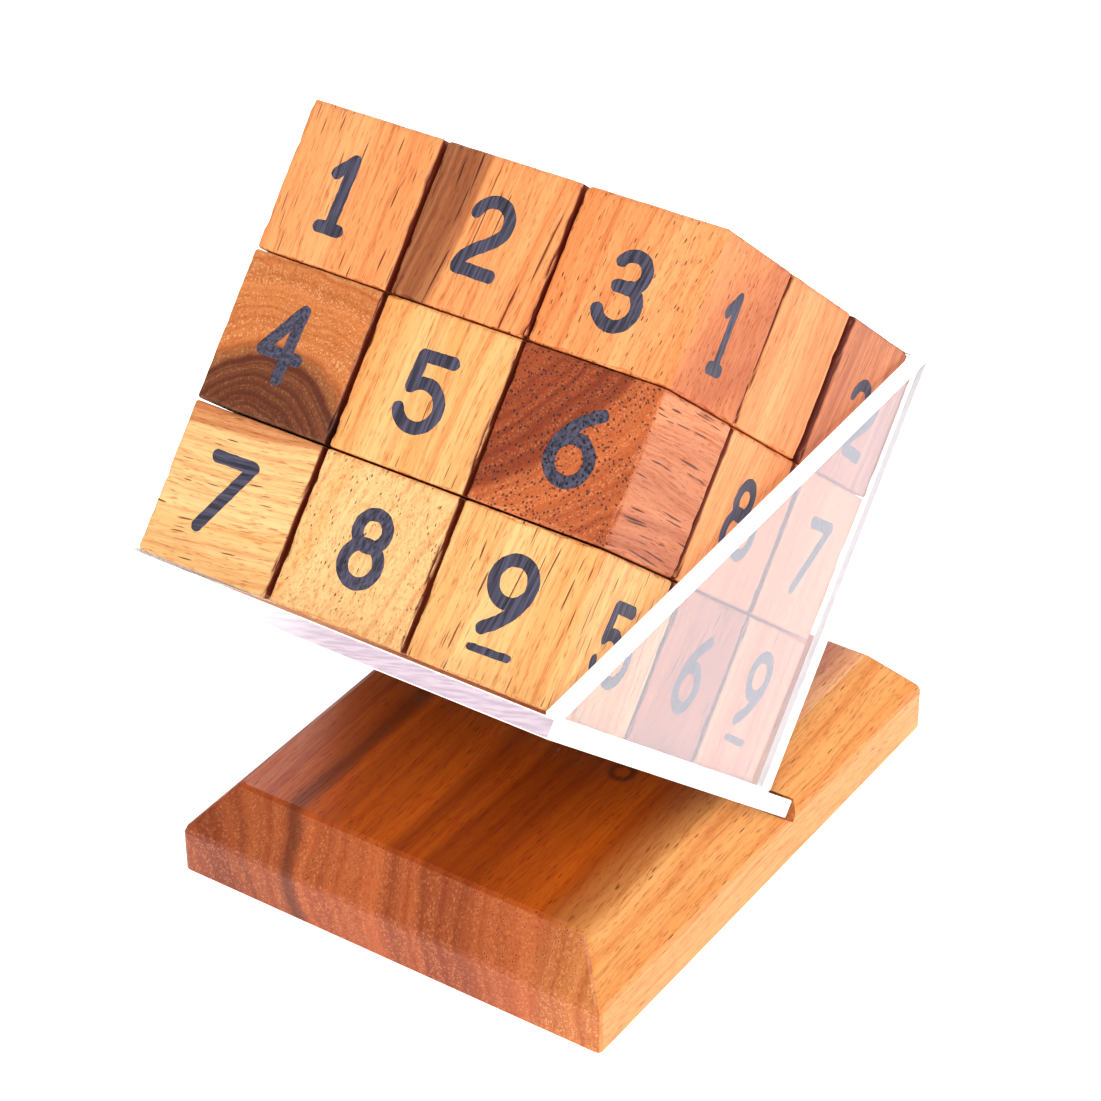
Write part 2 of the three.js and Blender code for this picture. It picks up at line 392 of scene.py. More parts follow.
# Sanded wood is dull and even, so the eye gets its colour and pores and hardly any gloss.
cube_wood, cube_wood_tree = new_finish("sanded hardwood")
grain = timber_from_attributes(cube_wood_tree)
finish_wood(cube_wood_tree, grain, grain["Color"], roughness=0.55, pore_depth=0.08 * mm)
print("material:", cube_wood.name)

# %% [markdown]
# The numbers are printed with a rubber stamp. Black paint would hide the wood, but the real ink is thin:
# the fibres show in it, and it has run into the pores. So the ink reads the timber of its own cube too,
# from the same attributes, and takes its colour from the fibres and pores instead of the tones.

# %% Printed ink
# Stamped ink is a thin blue-black film: greyer where the fibres stand up, and black where it ran into a
# pore.
ink, ink_tree = new_finish("printed ink")
grain = timber_from_attributes(ink_tree)
thinness = add(ink_tree, "ShaderNodeMapRange", (grain["Fibre"], 0.32, 0.68), **smooth_step)
thin_ink = add(ink_tree, "ShaderNodeMix", {
    0: thinness, 6: linear("#28252f"), 7: linear("#5b576d"),
}, **mix_colours)
soaked = add(ink_tree, "ShaderNodeMath", (grain["Pore"], 0.9), operation="MULTIPLY")
ink_colour = add(ink_tree, "ShaderNodeMix", {0: soaked, 6: thin_ink, 7: linear("#121216")}, **mix_colours)
finish_wood(ink_tree, grain, ink_colour, roughness=0.6, pore_depth=0.06 * mm)
print("material:", ink.name)

# %% [markdown]
# The base is one board of the same timber, oiled. It stays the CAD mesh, which carries no attributes, so
# its place in the log comes from Object coordinates through a Mapping node, with the grain along the
# board's Y. Its right side is paler, partly sapwood and partly painted light where the light falls on the
# bevel and side; the other tones are deepened, partly as painted shade for the shadow of the tray. A small
# knot shows on its top. End grain drinks more oil and looks duller, so the tones move together where a face
# is turned to the ends, to a paler, pinker colour that is also painted sheen.

# %% Oiled wood of the base
base_wood, base_tree = new_finish("oiled base wood")
where = add(base_tree, "ShaderNodeTexCoord").outputs["Object"]
pith_place = Vector((-52, 6, 0))
sapwood_and_light_starts, sapwood_and_light_full = 24 * mm, 36 * mm
in_log = add(base_tree, "ShaderNodeMapping", {
    "Vector": where, "Location": -pith_place, "Rotation": (math.radians(90), 0, 0), "Scale": (1 / mm,) * 3,
})
normal = add(base_tree, "ShaderNodeTexCoord").outputs["Normal"]
facing = add(base_tree, "ShaderNodeSeparateXYZ", (normal,))
end_cut = add(base_tree, "ShaderNodeMath", (facing.outputs["Y"],), operation="ABSOLUTE")
across_board = add(base_tree, "ShaderNodeSeparateXYZ", (where,)).outputs["X"]
# Painted light in part: the right bevel and side turn paler, partly sapwood and partly where the light falls.
sapwood_and_light = add(base_tree, "ShaderNodeMapRange", (across_board, sapwood_and_light_starts, sapwood_and_light_full), **smooth_step)
# Painted sheen in part: faces turned to the ends go paler and pinker, as duller end grain and as sheen.
end_grain_and_sheen = add(base_tree, "ShaderNodeMapRange", (end_cut, 0.3, 0.8, 0.0, 0.5), **smooth_step)
board_tones = {}
# The heartwood tones are deepened, partly as painted shade for the tray's shadow on the top.
for tone_name, heartwood_and_shade_colour, sapwood_and_light_colour, end_grain_and_sheen_colour in (
    ("Pale", "#ce6212", "#ffc074", "#dc986c"),
    ("Deep", "#7e2a00", "#f69c50", "#8e4c2a"),
):
    long_grain = add(base_tree, "ShaderNodeMix", {
        0: sapwood_and_light, 6: linear(heartwood_and_shade_colour), 7: linear(sapwood_and_light_colour),
    }, **mix_colours)
    board_tones[tone_name] = add(base_tree, "ShaderNodeMix", {
        0: end_grain_and_sheen, 6: long_grain, 7: linear(end_grain_and_sheen_colour),
    }, **mix_colours)
grain = add(base_tree, "ShaderNodeGroup", {
    "Place": in_log, **board_tones, "Heart tint": linear("#5f4c55"), "Heart radius": 37, "Heart shade": 0.15,
    "Ring width": 14, "Pores": 0.5, "Pore length": 7, "End grain": end_cut, "Cells per mm": 1.9,
}, node_tree=timber).outputs

knot_place = Vector((16.2, -6.6, 0)) * mm
knot_inner, knot_darkest, knot_outer = 0.8 * mm, 1.8 * mm, 3.0 * mm
on_top = add(base_tree, "ShaderNodeVectorMath", (where, (1, 1, 0)), operation="MULTIPLY")
from_knot = add(base_tree, "ShaderNodeVectorMath", (on_top, knot_place), operation="DISTANCE")
knot_rise = add(base_tree, "ShaderNodeMapRange", (from_knot, knot_inner, knot_darkest), **smooth_step)
knot_fall = add(base_tree, "ShaderNodeMapRange", {
    "Value": from_knot, "From Min": knot_darkest, "From Max": knot_outer, "To Min": 1.0, "To Max": 0.0,
}, **smooth_step)
knot_ring = add(base_tree, "ShaderNodeMath", (knot_rise, knot_fall), operation="MULTIPLY")
knot_share = add(base_tree, "ShaderNodeMath", (knot_ring, 0.7), operation="MULTIPLY")
base_colour = add(base_tree, "ShaderNodeMix", {
    0: knot_share, 6: grain["Color"], 7: linear("#5a3020"),
}, **multiply_colours)

# Oiled wood is deep in colour and has a soft gloss, which the eye sees on the top of the board.
finish_wood(base_tree, grain, base_colour, roughness=0.40, pore_depth=0.08 * mm)
print("material:", base_wood.name)

# %% [markdown]
# The tray is cut from clear acrylic sheet with polished faces. A mix with a see-through shader would be
# quick, but nothing behind it would bend or be mirrored. So the faces get full transmission and the index
# of acrylic, and a broad noise roughens them a little, as dust and hands do.

# %% Polished clear sheet
acrylic_index = 1.49
smear_size = 18 * mm

# A polished face gives the eye reflections and what is behind it, and faint smears.
clear, clear_tree = new_finish("polished clear sheet")
smears = add(clear_tree, "ShaderNodeTexNoise", {
    "Vector": add(clear_tree, "ShaderNodeTexCoord").outputs["Object"], "Scale": 1 / smear_size, "Detail": 4,
})
add(clear_tree, "Principled BSDF", {
    "Base Color": linear("#fdfdff"), "Transmission Weight": 1.0, "IOR": acrylic_index,
    "Roughness": add(clear_tree, "ShaderNodeMapRange", (smears, 0.45, 0.75, 0.0, 0.06), **smooth_step),
})
print("material:", clear.name)

# %% [markdown]
# The front edge of the tray's floor is as the saw left it, with long marks that slant across it. A regular
# wave looks like corduroy there. The marks are a noise instead, measured along and across their own
# direction, so that it comes out as long streaks. They are drawn wider than real ones, which wouldn't
# show.

# %% Sawn clear edge
saw_mark_slant = math.radians(14)
saw_mark_length = 5 * mm
saw_mark_width = 0.45 * mm
painted_light_end, painted_light_fades_out = -26 * mm, 4 * mm

# A sawn edge is a frosted strip with slanting marks, here whitened towards the left end by painted light.
sawn, sawn_tree = new_finish("sawn clear edge")
sheet_place = add(sawn_tree, "ShaderNodeTexCoord").outputs["Object"]
along_marks = (across * math.cos(saw_mark_slant) + lift * math.sin(saw_mark_slant)) / saw_mark_length
across_marks = (lift * math.cos(saw_mark_slant) - across * math.sin(saw_mark_slant)) / saw_mark_width
mark_place = add(sawn_tree, "ShaderNodeCombineXYZ", [
    add(sawn_tree, "ShaderNodeVectorMath", (sheet_place, direction), operation="DOT_PRODUCT")
    for direction in (along_marks, across_marks)
])
saw_strokes = add(sawn_tree, "ShaderNodeTexNoise", {"Vector": mark_place, "Scale": 1, "Detail": 3})
marks = add(sawn_tree, "ShaderNodeMapRange", (saw_strokes, 0.35, 0.65), **smooth_step)
streaked = add(sawn_tree, "ShaderNodeMix", {
    0: marks, 6: linear("#bda8b6"), 7: linear("#d2c0ca"),
}, **mix_colours)
# Painted light: towards its left end the edge is mixed to white, where more light falls.
along_edge = add(sawn_tree, "ShaderNodeSeparateXYZ", (sheet_place,)).outputs["X"]
painted_light_share = add(sawn_tree, "ShaderNodeMapRange", {
    "Value": along_edge, "From Min": painted_light_end, "From Max": painted_light_fades_out, "To Min": 1.0, "To Max": 0.0,
}, **smooth_step)
edge_colour = add(sawn_tree, "ShaderNodeMix", {
    0: painted_light_share, 6: streaked, 7: linear("#ffffff"),
}, **mix_colours)
add(sawn_tree, "Principled BSDF", {
    "Base Color": edge_colour,
    "Roughness": add(sawn_tree, "ShaderNodeMapRange", (marks, 0.0, 1.0, 0.3, 0.55), **smooth_step),
    "Normal": add(sawn_tree, "ShaderNodeBump", {"Height": marks, "Strength": 0.7, "Distance": 0.06 * mm}),
    "Transmission Weight": 0.25, "IOR": acrylic_index,
})
print("material:", sawn.name)

# %% [markdown]
# The other edges of the sheet were rubbed with abrasive. They scatter the light that travels inside the
# sheet, so they glow white. A rough see-through surface would need very many samples to show that; an
# opaque white with fine scratches looks the same. The scratches are drawn coarser than real ones.

# %% Rubbed clear edge
scratch_size = 0.6 * mm

# A rubbed edge is plain white with a dull, finely scratched shine.
rubbed, rubbed_tree = new_finish("rubbed clear edge")
scratches = add(rubbed_tree, "ShaderNodeTexNoise", {
    "Vector": add(rubbed_tree, "ShaderNodeTexCoord").outputs["Object"],
    "Scale": 1 / scratch_size, "Detail": 3,
})
scratched = add(rubbed_tree, "ShaderNodeBump", {"Height": scratches, "Strength": 0.4, "Distance": 0.03 * mm})
add(rubbed_tree, "Principled BSDF", {
    "Base Color": linear("#ffffff"), "IOR": acrylic_index,
    "Roughness": add(rubbed_tree, "ShaderNodeMapRange", (scratches, 0.3, 0.7, 0.35, 0.6), **smooth_step),
    "Normal": scratched,
})
print("material:", rubbed.name)

# %% [markdown]
# The cubes are sawn from sticks, then sanded, so their arrises are slightly round, worn unevenly and
# nicked here and there. A Bevel modifier would round every arris alike. All cubes follow one rule with
# another seed, which is what Geometry Nodes are for. It starts from a cube with a grid of points, drawn
# towards the arrises by a sine, because detail is needed only there.

# %% Sanded cube: a grid that crowds to its arrises
sanded_cube = new_tree("sanded cube", "GeometryNodeTree", inputs={
    "Edge": "Float", "Rounding": "Float", "Nick": "Float", "Seed": "Float", "Finish": "Material",
}, outputs={"Geometry": "Geometry"})
given = add(sanded_cube, "NodeGroupInput").outputs

grid_points = 37
unit = add(sanded_cube, "GeometryNodeMeshCube", ((2, 2, 2), grid_points, grid_points, grid_points))
position = add(sanded_cube, "GeometryNodeInputPosition")
half = add(sanded_cube, "ShaderNodeMath", (given["Edge"], 0.5), operation="MULTIPLY")
angles = add(sanded_cube, "ShaderNodeVectorMath", {0: position, "Scale": math.pi / 2}, operation="SCALE")
crowded = add(sanded_cube, "ShaderNodeVectorMath", (angles,), operation="SINE")
on_cube = add(sanded_cube, "ShaderNodeVectorMath", {0: crowded, "Scale": half}, operation="SCALE")
gridded = add(sanded_cube, "GeometryNodeSetPosition", {"Geometry": unit, "Position": on_cube})
print("sanded cube:", grid_points, "points along an edge")

# %% [markdown]
# Sanding by hand takes more off an arris here and less there. Each point looks for the nearest point of a
# smaller cube inside, and keeps a fixed distance from it, which rounds the arrises. A noise makes that
# distance uneven.

# %% Sanded cube: worn arrises
wear_size = 3.5 * mm
wear = add(sanded_cube, "ShaderNodeTexNoise", {
    "Vector": position, "W": given["Seed"], "Scale": 1 / wear_size, "Detail": 3, "Roughness": 0.6,
}, noise_dimensions="4D")
worn = add(sanded_cube, "ShaderNodeMapRange", (wear, 0.3, 0.7, 0.7, 1.25))
soft_radius = add(sanded_cube, "ShaderNodeMath", (worn, given["Rounding"]), operation="MULTIPLY")
inner = add(sanded_cube, "ShaderNodeMath", (half, soft_radius), operation="SUBTRACT")
inner_high = add(sanded_cube, "ShaderNodeCombineXYZ", (inner, inner, inner))
inner_low = add(sanded_cube, "ShaderNodeVectorMath", (inner_high, (-1, -1, -1)), operation="MULTIPLY")
below_high = add(sanded_cube, "ShaderNodeVectorMath", (position, inner_high), operation="MINIMUM")
core_point = add(sanded_cube, "ShaderNodeVectorMath", (below_high, inner_low), operation="MAXIMUM")
from_core = add(sanded_cube, "ShaderNodeVectorMath", (position, core_point), operation="SUBTRACT")
outward = add(sanded_cube, "ShaderNodeVectorMath", (from_core,), operation="NORMALIZE")
print("worn arrises:", len(sanded_cube.nodes), "nodes so far")

# %% [markdown]
# Hardwood also breaks out in small nicks where the saw left an arris. They could be cut one by one with
# booleans; a second noise that only counts near the arrises takes them out of the same surface instead.

# %% Sanded cube: nicks
chip_size = 2.2 * mm
chips = add(sanded_cube, "ShaderNodeTexNoise", {
    "Vector": position, "W": given["Seed"], "Scale": 1 / chip_size, "Detail": 2,
}, noise_dimensions="4D")
chip_depth = add(sanded_cube, "ShaderNodeMapRange", (chips, 0.52, 0.68))
lengths = add(sanded_cube, "ShaderNodeVectorMath", (outward,), operation="ABSOLUTE")
reach_out = add(sanded_cube, "ShaderNodeVectorMath", (lengths, (1, 1, 1)), operation="DOT_PRODUCT")
near_arris = add(sanded_cube, "ShaderNodeMapRange", (reach_out, 1.0, 1.4))
nick = add(sanded_cube, "ShaderNodeMath", (chip_depth, near_arris), operation="MULTIPLY")
nick_depth = add(sanded_cube, "ShaderNodeMath", (nick, given["Nick"]), operation="MULTIPLY")
depth = add(sanded_cube, "ShaderNodeMath", (soft_radius, nick_depth), operation="SUBTRACT")
skin = add(sanded_cube, "ShaderNodeVectorMath", {0: outward, "Scale": depth}, operation="SCALE")
surface = add(sanded_cube, "ShaderNodeVectorMath", (core_point, skin), operation="ADD")
rounded = add(sanded_cube, "GeometryNodeSetPosition", {"Geometry": gridded, "Position": surface})
smooth = add(sanded_cube, "GeometryNodeSetShadeSmooth", {"Geometry": rounded})
plain = add(sanded_cube, "GeometryNodeRealizeInstances", {"Geometry": smooth})
coated = add(sanded_cube, "GeometryNodeSetMaterial", {"Geometry": plain, "Material": given["Finish"]})
add(sanded_cube, "NodeGroupOutput", {"Geometry": coated})
print("sanded cube:", len(sanded_cube.nodes), "nodes")

# %% [markdown]
# A tree of Geometry Nodes works as a modifier on some object. Every piece here should be a plain mesh, so
# a tree is put on a passing host, its inputs are set, and the mesh that comes out is kept while the host
# is deleted.

# %% Growing a mesh from a tree
def grown(tree, start=None, **inputs):
    """The plain mesh that a tree makes, from nothing or from a starting mesh, with its named inputs set."""
    host = bpy.data.objects.new("host", start or bpy.data.meshes.new("host"))
    bpy.context.collection.objects.link(host)
    modifier = host.modifiers.new("grow", "NODES")
    modifier.node_group = tree
    for item in tree.interface.items_tree:
        if item.in_out == "INPUT" and item.name in inputs:
            modifier[item.identifier] = inputs[item.name]
    depsgraph = bpy.context.evaluated_depsgraph_get()
    mesh = bpy.data.meshes.new_from_object(host.evaluated_get(depsgraph), depsgraph=depsgraph)
    bpy.data.objects.remove(host)
    return mesh


print("trees to grow from:", [group.name for group in bpy.data.node_groups if group.type == "GEOMETRY"])

# %% [markdown]
# Each cube came from another place in another log, and that is what makes the block look like real wood.
# The cubes that can be seen are described one by one; the hidden ones are drawn by lot. In a description,
# `grain` is the way of the fibres in the cube's own axes (across, down, lift), `pith` is where the middle
# of the log was, measured from the cube's centre, and `heart` is the radius of the dark heartwood, both in
# millimetres. `slip` is how far the loose cube has slid across and down.

# %% Where the timber came from
tones = {
    "straw": ("#ffd292", "#f6b46c"),
    "wood_golden": ("#ffcb86", "#f2a45a"),
    "wood_orange": ("#fbb070", "#e88646"),
    "russet": ("#f6b57e", "#cc8448"),
    "wood_brown": ("#e89462", "#b66242"),
}
dark_heart = "#74606f"
red_heart = "#c07a5c"
brown_heart = "#a4685c"
no_heart = -20
usual_heart_shade = 0.7
described = {
    "upper_front_left": dict(grain=(0.03, 0, 1), pith=(-60, 40, 0), ring=14, pores=0.65, pore_length=12),
    "upper_front_centre": dict(
        grain=(0.06, 0, 1), pith=(-20, -14, 0), heart=13, shade=0.75, ring=7, pores=1.0, pore_length=36,
    ),
    "upper_front_right": dict(
        tone="wood_orange", grain=(0.1, 0.1, 1), pith=(69, 8, 0), heart=56.6, shade=0.35, tint=red_heart,
        ring=12, pores=0.6, pore_length=3,
    ),
    "middle_front_left": dict(
        tone="russet", grain=(0, 1, 0), pith=(-1, 0, -25), heart=22, shade=0.92,
        ring=9, pores=0.3, pore_length=9, slip=(-0.2, 0.1),
    ),
    "middle_front_centre": dict(
        tone="wood_golden", grain=(0.04, 0, 1), pith=(70, 30, 0), ring=12, pores=0.55, pore_length=24,
    ),
    "middle_front_right": dict(
        grain=(0, 1, 0), pith=(-34, 0, 30), heart=44, shade=0.6, tint=brown_heart,
        ring=9, pores=1.15, pore_length=20,
    ),
    "lower_front_left": dict(
        tone="straw", grain=(1, 0, 0.05), pith=(0, -8, 30), heart=20, shade=0.75, tint=red_heart,
        ring=9, pores=0.55, pore_length=10, slip=(-0.2, 0.1),
    ),
    "lower_front_centre": dict(
        tone="straw", grain=(0.1, 0.4, 0.9), pith=(40, 20, 40), ring=12, pores=0.62, pore_length=5,
    ),
    "lower_front_right": dict(
        tone="wood_golden", grain=(0.05, 0, 1), pith=(50, 20, 0), ring=11, pores=0.75, pore_length=44,
    ),
    "upper_inner_right": dict(
        grain=(0, 0.05, 1), pith=(40, 30, 0), ring=8, pores=0.40, pore_length=20, slip=(0.0, -0.35),
    ),
    "upper_back_right": dict(
        grain=(0, 0.1, 1), pith=(16, -16, 0), ring=6, pores=0.5, pore_length=20, slip=(0.1, 0.55),
    ),
    "middle_inner_right": dict(grain=(0, 0.1, 1), pith=(50, 10, 0), ring=8, pores=0.45, pore_length=14),
    "middle_back_right": dict(
        tone="wood_orange", grain=(0, 0, 1), pith=(60, 30, 0), ring=10, pores=0.4, pore_length=14,
    ),
    "lower_inner_right": dict(grain=(0, 0.2, 1), pith=(40, 0, 0), ring=6, pores=0.6, pore_length=12),
    "lower_back_right": dict(
        tone="wood_orange", grain=(0, 0, 1), pith=(40, 50, 0), ring=8, pores=0.5, pore_length=14,
    ),
}


def drawn_by_lot(lot):
    """A believable place in a log for a cube that is hidden."""
    turn = lot.uniform(0, 2 * math.pi)
    distance = lot.uniform(18, 60)
    grain_axis = lot.choice(((0.05, 0, 1), (1, 0.05, 0), (0, 1, 0.05)))
    pith = [distance * part for part in (math.cos(turn), math.sin(turn), math.cos(turn + 1))]
    return dict(
        grain=grain_axis, pith=pith, heart=lot.uniform(-10, 16), ring=lot.uniform(3, 8),
        pores=lot.uniform(0.4, 0.7), pore_length=lot.uniform(6, 20),
    )


# %% [markdown]
# A mesh attribute keeps one value for each point, so a shader can know things that no coordinate tells it.
# Here the points get their place in the log, the log's tones and its figure, and how squarely the surface
# cuts the grain. In the gaps between the cubes the tones are darkened towards the arris one looks in past:
# this is painted shade, and it gives the block the thin dark lines between its cubes.

# %% Writing the timber on a mesh
# Painted shade in the gaps between the cubes: its colour, and how far from the arris it reaches.
gap_shade_tint = np.array(linear("#6e3420"))
gap_shade_reach_mm = 2.5
end_grain_sharpness = 4


def store(mesh, name, kind, values):
    """One value per point of the mesh, kept as a named attribute."""
    attribute = mesh.attributes.new(name, kind, "POINT")
    field = "color" if kind == "FLOAT_COLOR" else "vector"
    attribute.data.foreach_set(field, np.asarray(values, dtype=np.float32).ravel())


def per_point(collection, field):
    """A vector field of all points or normals as an array with three columns."""
    values = np.empty(len(collection) * 3, dtype=np.float32)
    collection.foreach_get(field, values)
    return values.reshape(-1, 3)


def carry_timber(mesh, log, tone, stretch, gap_faces):
    """Writes every point's place in the log, in millimetres, and the log's tones and figure.

    For each gap beside the cube, `gap_faces` says which way the cube's face in it looks, and from which
    side one looks into it. That face gets painted shade: its tones darken towards the arris one looks in past.
    """
    points = per_point(mesh.vertices, "co")
    normals = per_point(mesh.vertex_normals, "vector")
    count = len(points)
    along = Vector(log["grain"]).normalized()
    side = along.orthogonal().normalized()
    log_axes = np.array((side, along.cross(side), along))
    place = (points / mm - np.array(log["pith"])) @ log_axes.T
    place[:, 2] += stretch
    # Painted shade: a face in a gap darkens towards the arris that one looks in past.
    gap_shade = np.zeros(count)
    for looks, seen_from in gap_faces:
        turned = np.clip((normals @ np.array(looks) - 0.2) / 0.5, 0, 1)
        from_arris = sanded_edge / 2 - points @ np.array(seen_from)
        gap_shade = np.maximum(gap_shade, turned * np.clip(gap_shade_reach_mm - from_arris / mm, 0, 1))
    kept_light = 1 - gap_shade[:, np.newaxis] * (1 - gap_shade_tint)
    pale, deep = (kept_light * linear(colour) for colour in tone)
    end_cut = np.abs(normals @ np.array(along)) ** end_grain_sharpness
    pore_length = np.full(count, log["pore_length"])
    heart_shade = np.full(count, log.get("shade", usual_heart_shade))
    figure = (log.get("heart", no_heart), log["ring"], log["pores"])
    store(mesh, "log_place", "FLOAT_VECTOR", place)
    store(mesh, "log_pale", "FLOAT_COLOR", pale)
    store(mesh, "log_deep", "FLOAT_COLOR", deep)
    store(mesh, "log_tint", "FLOAT_COLOR", np.tile(linear(log.get("tint", dark_heart)), (count, 1)))
    store(mesh, "log_figure", "FLOAT_VECTOR", np.tile(figure, (count, 1)))
    store(mesh, "log_cut", "FLOAT_VECTOR", np.stack((pore_length, end_cut, heart_shade), axis=1))


print("attributes on each cube:", ["log_place", *log_colours.values(), *log_measures])

# %% [markdown]
# The numbers are stamped in one weight of line with round ends. A font would bring someone's own
# letterforms, so each digit is a few strokes instead. They are drawn by their middle lines, in
# millimetres about the middle of the digit: straight lines, parts of circles and bends between two
# directions.

# %% Strokes of the digits
def line(start, end):
    return [start, end]


def arc(centre, radius, start, end, steps=26):
    """Points on a circle from one angle to another, in degrees; they may run either way round."""
    sweep = [math.radians(start + (end - start) * step / steps) for step in range(steps + 1)]
    return [(centre[0] + radius * math.cos(angle), centre[1] + radius * math.sin(angle)) for angle in sweep]


def bend(first, second, third, fourth, steps=18):
    """Points on a curve that leaves the first point towards the second and meets the last from the third."""
    handles = (first, second, third, fourth)
    points = []
    for step in range(steps + 1):
        t = step / steps
        weights = ((1 - t) ** 3, 3 * t * (1 - t) ** 2, 3 * t * t * (1 - t), t ** 3)
        points.append(tuple(sum(w * p[axis] for w, p in zip(weights, handles)) for axis in (0, 1)))
    return points


digit_strokes = {
    1: [line((-1.9, 3.0), (0.5, 5.6)), line((0.5, 5.6), (0.3, -5.6)), line((-1.6, -5.6), (2.0, -5.6))],
    2: [
        arc((0.1, 2.5), 3.1, 165, -40),
        bend((2.47, 0.5), (0.6, -1.8), (-2.6, -2.4), (-2.9, -5.3)),
        line((-2.9, -5.5), (3.2, -5.5)),
    ],
    3: [
        arc((0.1, 2.95), 2.55, 150, -80),
        line((-1.4, 0.5), (0.7, 0.55)),
        arc((-0.2, -2.35), 3.25, 74, -155),
    ],
    4: [line((1.3, 5.6), (-3.3, -1.9)), line((-3.3, -1.9), (3.4, -1.9)), line((1.3, 5.6), (1.3, -5.6))],
    5: [line((-2.3, 5.5), (3.1, 5.5)), line((-2.3, 5.5), (-2.7, 0.4)), arc((-0.3, -2.1), 3.5, 132, -160)],
    6: [arc((0, -2.25), 3.35, 0, 360, 40), bend((2.7, 5.5), (-0.6, 3.8), (-3.2, 0.8), (-3.35, -2.1))],
    7: [line((-3.5, 5.5), (3.5, 5.5)), line((3.5, 5.5), (-2.5, -5.6))],
    8: [arc((0, 2.8), 2.6, 0, 360, 36), arc((0, -2.45), 3.1, 0, 360, 40)],
    9: [arc((0, 2.25), 3.35, 0, 360, 40), bend((3.35, 2.1), (3.2, -0.8), (0.6, -3.8), (-2.5, -5.5))],
}
nine_underline = line((-3.3, -8.7), (3.3, -8.7))
stroke_width = 2.0
underline_width = 1.2
digit_scale = 0.96
ink_height = 0.05 * mm
print("strokes:", {digit: len(strokes) for digit, strokes in digit_strokes.items()})

# %% [markdown]
# On the real cube a number is a film of ink with a slightly uneven border, where the ink crept into the
# fibres. A flat curve would have no thickness and hard ends. Here a tree turns the middle lines into round
# bars with a ball at each end, joins them to one closed body, presses that almost flat, and lets its
# border wander by a noise.

# %% Inked number: strokes joined to one body
inked = new_tree("inked number", "GeometryNodeTree", inputs={
    "Geometry": "Geometry", "Width": "Float", "Height": "Float", "Finish": "Material",
}, outputs={"Geometry": "Geometry"})
given = add(inked, "NodeGroupInput").outputs

point_spacing = 0.6 * mm
bar_radius = add(inked, "ShaderNodeMath", (given["Width"], 0.5), operation="MULTIPLY")
drawn = add(inked, "GeometryNodeMeshToCurve", {"Mesh": given["Geometry"]})
paths = add(inked, "GeometryNodeResampleCurve", {"Curve": drawn, "Length": point_spacing}, mode="LENGTH")
section = add(inked, "GeometryNodeCurvePrimitiveCircle", {"Resolution": 14, "Radius": bar_radius})
bars = add(inked, "GeometryNodeCurveToMesh", {"Curve": paths, "Profile Curve": section, "Fill Caps": True})
ball = add(inked, "GeometryNodeMeshUVSphere", {"Segments": 20, "Rings": 10, "Radius": bar_radius})
ends = add(inked, "GeometryNodeCurveEndpointSelection")
balls = add(inked, "GeometryNodeInstanceOnPoints", {"Points": paths, "Selection": ends, "Instance": ball})
plain_balls = add(inked, "GeometryNodeRealizeInstances", {"Geometry": balls})
joined = add(inked, "GeometryNodeMeshBoolean", {
    "Mesh 2": bars, "Self Intersection": True,
}, operation="UNION", solver="EXACT")
inked.links.new(plain_balls.outputs["Geometry"], joined.inputs["Mesh 2"])
print("strokes joined:", len(inked.nodes), "nodes")

# %% [markdown]
# Pressing the body flat leaves a film a few hundredths of a millimetre high. Its border is as smooth as
# the bars were, and real ink bleeds a little, so a noise moves the points sideways before the film gets
# its finish.

# %% Inked number: the pressed and bled film
flattening = add(inked, "ShaderNodeMath", (given["Height"], bar_radius), operation="DIVIDE")
squeeze = add(inked, "ShaderNodeCombineXYZ", (1.0, 1.0, flattening))
pressed = add(inked, "GeometryNodeTransform", {"Geometry": joined, "Scale": squeeze})
bleed_size = 0.9 * mm
bleed_reach = 0.4 * mm
bleed = add(inked, "ShaderNodeTexNoise", {"Scale": 1 / bleed_size, "Detail": 2}).outputs["Color"]
bleed_way = add(inked, "ShaderNodeVectorMath", (bleed, (0.5, 0.5, 0.5)), operation="SUBTRACT")
wander = add(inked, "ShaderNodeVectorMath", (bleed_way, (bleed_reach, bleed_reach, 0)), operation="MULTIPLY")
seeped = add(inked, "GeometryNodeSetPosition", {"Geometry": pressed, "Offset": wander})
smooth = add(inked, "GeometryNodeSetShadeSmooth", {"Geometry": seeped})
plain = add(inked, "GeometryNodeRealizeInstances", {"Geometry": smooth})
dried = add(inked, "GeometryNodeSetMaterial", {"Geometry": plain, "Material": given["Finish"]})
add(inked, "NodeGroupOutput", {"Geometry": dried})
print("inked number:", len(inked.nodes), "nodes")

# %% [markdown]
# The nine digits are grown once each and copied for every print, because growing joins many bars and takes
# time. The tree takes its strokes as loose edges. The nine has a line under it, so that it can't be read
# as a six.

# %% The nine digits
def stroke_mesh(strokes):
    """The middle lines of some strokes as loose edges; a stroke that ends where it began is closed."""
    points = []
    edges = []
    for stroke in strokes:
        first = len(points)
        closed = math.dist(stroke[0], stroke[-1]) < 1e-6
        kept = stroke[:-1] if closed else stroke
        points += [(x * digit_scale * mm, y * digit_scale * mm, 0) for x, y in kept]
        edges += [(i, i + 1) for i in range(first, len(points) - 1)]
        if closed:
            edges.append((len(points) - 1, first))
    mesh = bpy.data.meshes.new("strokes")
    mesh.from_pydata(points, edges, [])
    return mesh


def printed(strokes, width):
    return grown(inked, stroke_mesh(strokes), Width=width * mm, Height=ink_height, Finish=ink)


digit_meshes = {digit: [printed(strokes, stroke_width)] for digit, strokes in digit_strokes.items()}
digit_meshes[9].append(printed([nine_underline], underline_width))
face_counts = {digit: sum(len(mesh.polygons) for mesh in meshes) for digit, meshes in digit_meshes.items()}
print("faces of each digit:", face_counts)

# %% [markdown]
# Every digit is printed six times, so the twenty-seven cubes carry fifty-four numbers, two on each. The
# numbers on the front and the right of the block can be seen, and so can how far each sits off the middle
# of its face, since the stamp was set by hand. The numbers on the other faces are dealt out by lot, from a
# fixed seed.

